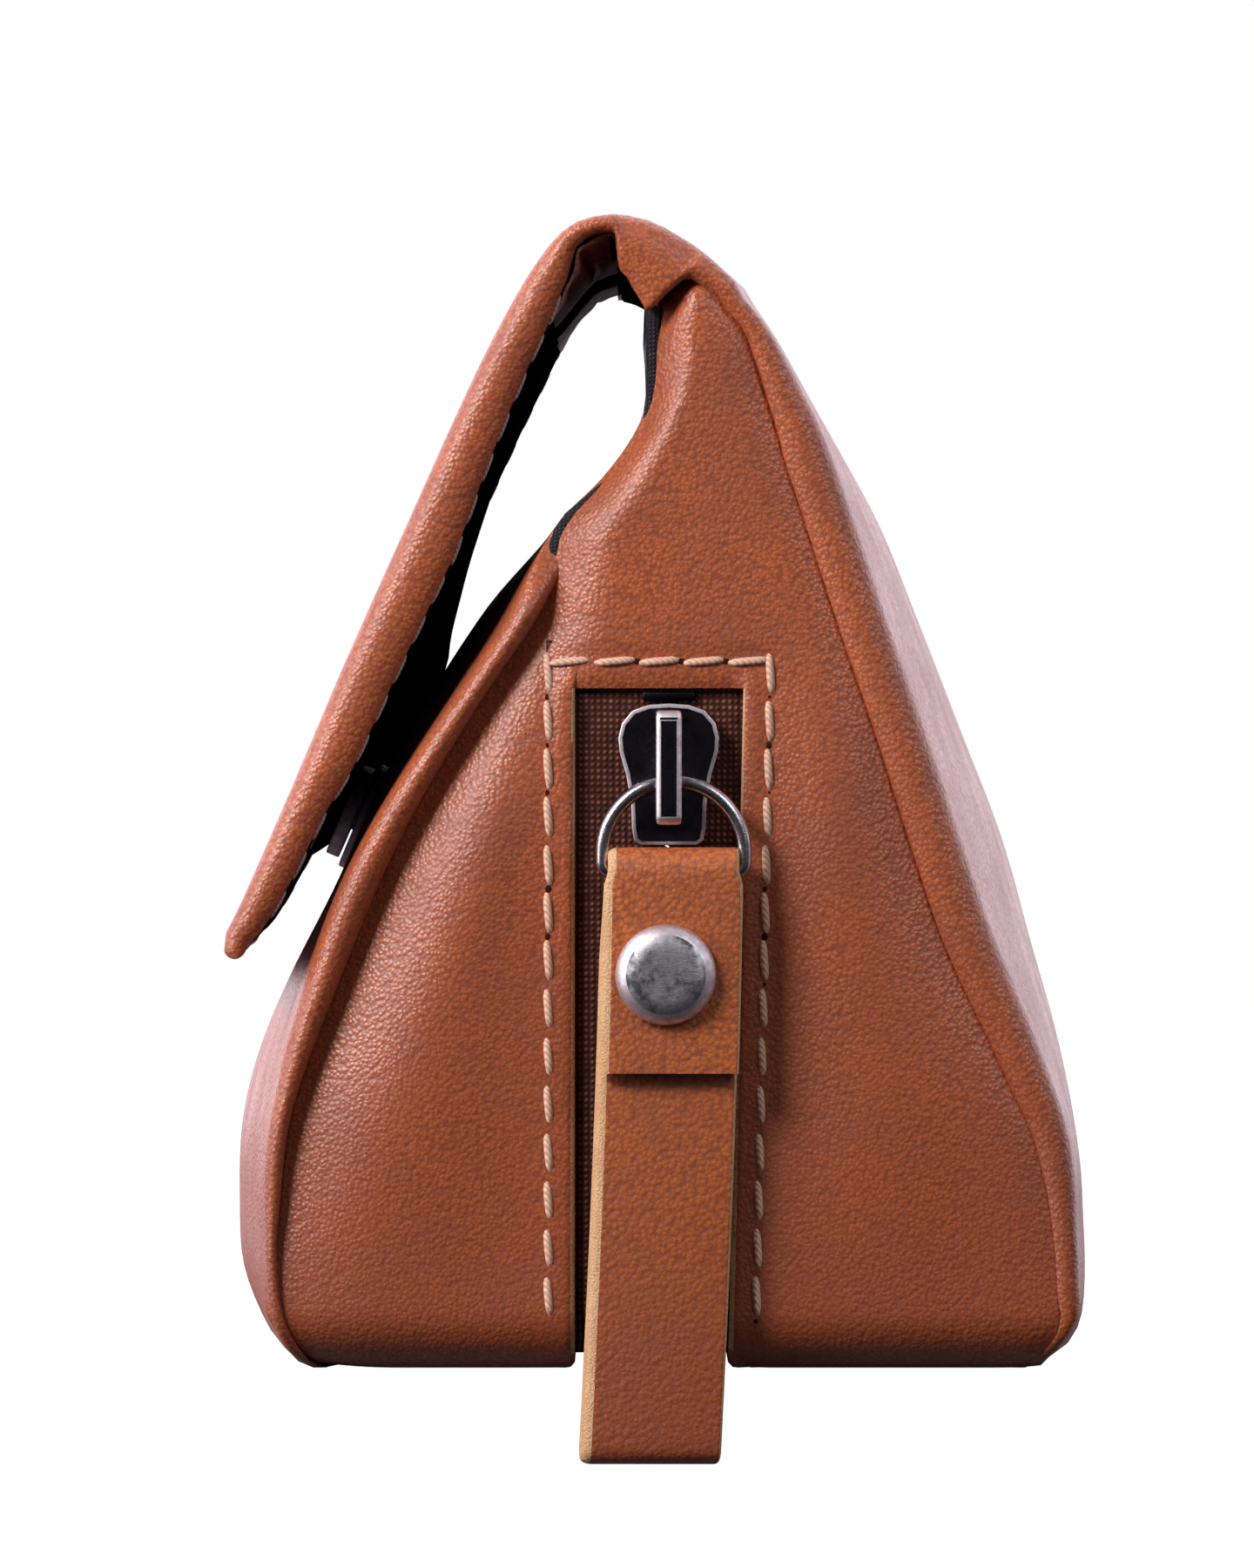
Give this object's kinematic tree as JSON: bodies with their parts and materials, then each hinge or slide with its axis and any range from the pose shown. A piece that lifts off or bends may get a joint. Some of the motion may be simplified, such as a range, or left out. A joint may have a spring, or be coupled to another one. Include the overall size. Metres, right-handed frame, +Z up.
{
  "type": "pipe bag",
  "caption": "Padded leather pipe bag with a triangular end, a zip that runs down the end and under the base, a flap with a hidden snap over a tobacco pocket, and a ring pull with a hanging strap.",
  "frame": {"origin": "on the underside of the base, in the middle of its back half and halfway along the bag", "axes": "+Z up; Y along the bag, with the zip's slider at the -Y end; the flap hangs on the -X side"},
  "size_m": [0.092, 0.1831, 0.1302],
  "materials": {
    "tan_leather": "grained, waxed, soft sheen",
    "strap_leather": "grained, with pale cut edges",
    "padding": "foam, not seen from outside",
    "black_lining": "dense matt weave",
    "brown_tape": "herringbone weave, matt",
    "brown_teeth": "moulded, low sheen",
    "black_metal": "black, satin",
    "gunmetal": "dark plated, bright worn edges",
    "ring_steel": "plated wire, polished",
    "antique_silver": "tarnished in the middle, bright at the rim",
    "snap_steel": "nickel plated, satin"
  },
  "bodies": {
    "bag": {"front_panel": "tan_leather", "back_panel": "tan_leather", "gusset_near_end": "tan_leather", "gusset_far_end": "tan_leather", "base_front_half": "tan_leather", "base_back_half": "tan_leather", "front_foam": "padding", "back_foam": "padding", "front_lining": "black_lining", "back_lining": "black_lining", "compartment_divider": "black_lining", "mouth_hem": "black_lining", "zip_tape_front": "brown_tape", "zip_tape_back": "brown_tape", "zip_teeth_front": "brown_teeth", "zip_teeth_back": "brown_teeth", "zip_stop_near": "black_metal", "zip_stop_far": "black_metal", "snap_stud_front": "snap_steel", "snap_washer_front": "snap_steel"},
    "flap": {"flap_leather": "tan_leather", "flap_foam": "padding", "flap_lining": "black_lining", "snap_magnet_flap": "snap_steel", "snap_washer_flap": "snap_steel"},
    "slider": {"slider_body": "gunmetal", "slider_bridge": "gunmetal"},
    "ring": {"pull_ring": "ring_steel"},
    "strap": {"pull_strap": "strap_leather", "rivet_cap": "antique_silver", "rivet_post": "antique_silver", "rivet_back_cap": "antique_silver"}
  },
  "joints": [
    {"name": "flap_hinge", "type": "hinge", "parent": "bag", "child": "flap", "pos_m": [-0.01301, 0, 0.1125], "axis": [0, 1, 0], "range_deg": [0, 150]},
    {"name": "zip_slide", "type": "slide", "parent": "bag", "child": "slider", "axis": [0, 0, -1], "range_m": [0, 0.046]},
    {"name": "ring_swing", "type": "hinge", "parent": "slider", "child": "ring", "pos_m": [-0.02249, -0.09075, 0.06135], "axis": [-1, 0, 0], "range_deg": [0, 110]},
    {"name": "strap_swing", "type": "hinge", "parent": "ring", "child": "strap", "pos_m": [-0.02249, -0.09075, 0.05195], "axis": [-1, 0, 0], "range_deg": [0, 70]}
  ]
}
